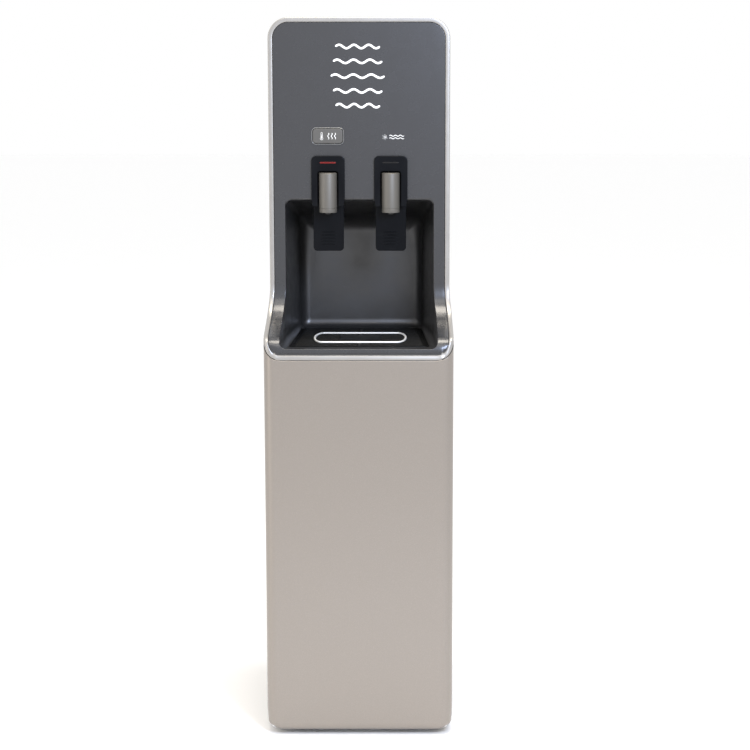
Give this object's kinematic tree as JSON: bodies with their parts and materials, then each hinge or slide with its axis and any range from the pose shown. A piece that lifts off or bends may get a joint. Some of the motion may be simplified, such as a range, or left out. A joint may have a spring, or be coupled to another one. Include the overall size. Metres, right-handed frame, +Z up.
{
  "type": "floor standing water dispenser",
  "caption": "Tall slim mains-fed water dispenser: two lever taps over a lit recess with a drip tray, safety button, cooling and heating inside.",
  "frame": {"origin": "on the floor, under the middle of the body's width and depth", "axes": "+Z up, the front looks along -Y, +X to the right seen from the front"},
  "size_m": [0.28, 0.37, 1.071],
  "materials": {
    "champagne_panel": "satin champagne metallic lacquer",
    "champagne_moulding": "satin champagne metallic lacquer over moulded plastic",
    "rim_white": "pearl white, half gloss",
    "fascia_grey": "grey metallic lacquer, half gloss",
    "recess_grey": "dark grey metallic moulding, satin",
    "tray_black": "fine grained black moulding",
    "ring_chrome": "bright chrome",
    "tap_black": "black moulding, half gloss",
    "spout_steel": "satin nickel",
    "lens_red": "clear red lens",
    "lens_dark": "smoked lens",
    "button_grey": "fine textured grey",
    "button_trim": "satin silver",
    "zinc_sheet": "zinc coated sheet",
    "stainless": "drawn stainless sheet",
    "copper": "copper tube",
    "foam": "expanded foam",
    "board_green": "coated circuit board",
    "rubber_black": "moulded rubber",
    "black_enamel": "black enamel",
    "pin_steel": "ground steel",
    "white_plastic": "white moulding",
    "black_plastic": "black moulding"
  },
  "bodies": {
    "cabinet": {"base_pan": "zinc_sheet", "levelling_feet": "rubber_black", "side_panel_left": "champagne_panel", "side_panel_right": "champagne_panel", "front_panel": "champagne_moulding", "top_cover": "champagne_moulding", "rear_panel_upper": "zinc_sheet", "rear_panel_lower": "zinc_sheet", "rim_trim": "rim_white", "fascia_panel": "fascia_grey", "recess_liner": "recess_grey", "chassis_rails": "zinc_sheet", "tank_shelf": "zinc_sheet", "hot_tap_housing": "tap_black", "cold_tap_housing": "tap_black", "hot_spout_sleeve": "spout_steel", "cold_spout_sleeve": "spout_steel", "hot_nozzle": "black_plastic", "cold_nozzle": "black_plastic", "lever_pins": "pin_steel", "lever_springs": "pin_steel", "lever_switches": "black_plastic", "hot_indicator": "lens_red", "cold_indicator": "lens_dark", "hot_button_frame": "button_trim", "hot_button_spring": "pin_steel", "control_board": "board_green", "cold_tank": "stainless", "cold_tank_insulation": "foam", "evaporator_coil": "copper", "hot_tank": "stainless", "hot_tank_insulation": "foam", "filter_cartridges": "white_plastic", "filter_manifold": "white_plastic", "solenoid_valves": "white_plastic", "water_tubes": "white_plastic", "compressor": "black_enamel", "compressor_mounts": "rubber_black", "condenser": "black_enamel", "refrigerant_lines": "copper", "power_module": "black_plastic", "power_inlet": "black_plastic", "rocker_bezel": "black_plastic", "inlet_fitting": "white_plastic", "drain_fitting": "white_plastic", "panel_screws": "pin_steel"},
    "hot_lever": {"hot_lever": "tap_black"},
    "cold_lever": {"cold_lever": "tap_black"},
    "hot_plunger": {"hot_switch_plunger": "white_plastic"},
    "cold_plunger": {"cold_switch_plunger": "white_plastic"},
    "hot_button": {"hot_button": "button_grey"},
    "tray": {"drip_tray": "tray_black"},
    "grille": {"drip_grille": "tray_black", "grille_ring": "ring_chrome"},
    "power_rocker": {"power_rocker": "tap_black"},
    "heater_rocker": {"heater_rocker": "lens_red"},
    "drain_cap": {"drain_cap": "white_plastic"}
  },
  "joints": [
    {"name": "hot_lever_hinge", "type": "hinge", "parent": "cabinet", "child": "hot_lever", "pos_m": [-0.047, -0.053, 0.818], "axis": [1, 0, 0], "range_deg": [0, 8], "stiffness_Nm_per_rad": 0.8, "springref_deg": -11.46},
    {"name": "hot_switch_slide", "type": "slide", "parent": "cabinet", "child": "hot_plunger", "axis": [0, 1, 0], "range_m": [0, 0.0016], "stiffness_N_per_m": 150, "springref_m": -0.001},
    {"name": "cold_lever_hinge", "type": "hinge", "parent": "cabinet", "child": "cold_lever", "pos_m": [0.047, -0.053, 0.818], "axis": [1, 0, 0], "range_deg": [0, 8], "stiffness_Nm_per_rad": 0.8, "springref_deg": -11.46},
    {"name": "cold_switch_slide", "type": "slide", "parent": "cabinet", "child": "cold_plunger", "axis": [0, 1, 0], "range_m": [0, 0.0016], "stiffness_N_per_m": 150, "springref_m": -0.001},
    {"name": "hot_button_slide", "type": "slide", "parent": "cabinet", "child": "hot_button", "axis": [0, 1, 0], "range_m": [0, 0.0015], "stiffness_N_per_m": 500, "springref_m": -0.003, "deforming": ["hot_button_spring"]},
    {"name": "tray_lift", "type": "slide", "parent": "cabinet", "child": "tray", "axis": [0, 0, 1], "range_m": [0, 0.05]},
    {"name": "grille_lift", "type": "slide", "parent": "tray", "child": "grille", "axis": [0, 0, 1], "range_m": [0, 0.04]},
    {"name": "power_rocker_hinge", "type": "hinge", "parent": "cabinet", "child": "power_rocker", "pos_m": [-0.036, 0.1712, 0.095], "axis": [-1, 0, 0], "range_deg": [0, 16]},
    {"name": "heater_rocker_hinge", "type": "hinge", "parent": "cabinet", "child": "heater_rocker", "pos_m": [-0.008, 0.1712, 0.095], "axis": [-1, 0, 0], "range_deg": [0, 16]},
    {"name": "drain_cap_slide", "type": "slide", "parent": "cabinet", "child": "drain_cap", "axis": [0, 1, 0], "range_m": [0, 0.012]}
  ],
  "couplings": [
    {"joint": "hot_switch_slide", "follows": "hot_lever_hinge", "m_per_rad": 0.01},
    {"joint": "cold_switch_slide", "follows": "cold_lever_hinge", "m_per_rad": 0.01}
  ]
}
